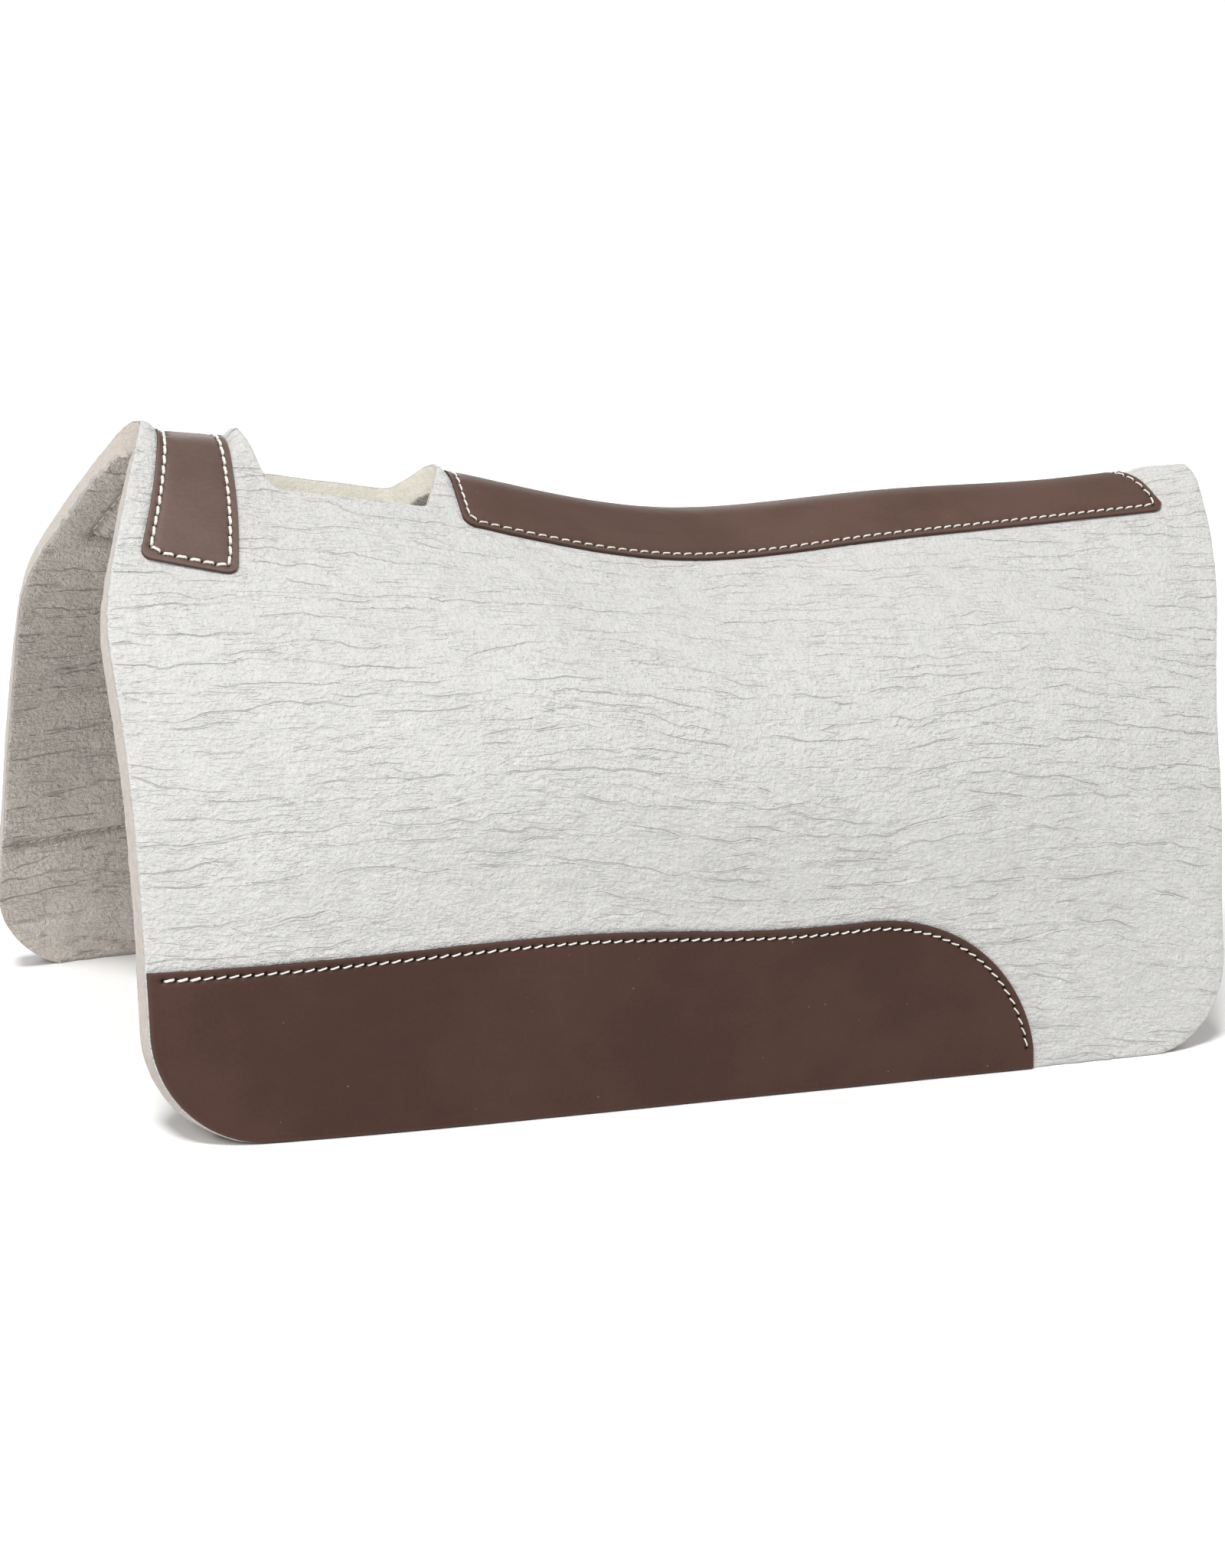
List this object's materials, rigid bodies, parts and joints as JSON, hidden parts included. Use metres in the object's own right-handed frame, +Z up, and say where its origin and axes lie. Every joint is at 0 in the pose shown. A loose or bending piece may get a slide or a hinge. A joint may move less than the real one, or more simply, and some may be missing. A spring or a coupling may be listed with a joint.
{
  "type": "saddle pad",
  "caption": "Contoured wool felt saddle pad with a wither relief opening, a leather wither strap, a leather spine cover and leather wear panels on the lower flaps.",
  "frame": {"origin": "bottom centre of the pad's bounding box, on the plane of the two lower hems that it stands on", "axes": "+X towards the withers (front), +Y to the horse's left, +Z up"},
  "size_m": [0.8099, 0.4402, 0.3977],
  "materials": {
    "felt": "thick pressed wool felt, off-white outside, cream on the cut edge and grey-taupe inside, with fine wavy surface creases",
    "trim_leather": "medium brown smooth leather, matte, puckered along its stitches",
    "wear_leather": "dark brown smooth leather, matte, with faint darker clouds",
    "thread": "thick waxed off-white thread"
  },
  "bodies": {
    "root": {"felt_left": "felt", "felt_right": "felt", "wither_strap": "trim_leather", "spine_leather": "trim_leather", "wear_leather_left": "wear_leather", "wear_leather_right": "wear_leather", "strap_needle_thread": "thread", "strap_bobbin_thread": "thread", "spine_needle_thread": "thread", "spine_bobbin_thread": "thread", "wear_needle_thread_left": "thread", "wear_needle_thread_right": "thread", "wear_bobbin_thread_left": "thread", "wear_bobbin_thread_right": "thread", "spine_seam_front": "thread", "spine_seam_rear": "thread"}
  },
  "joints": []
}
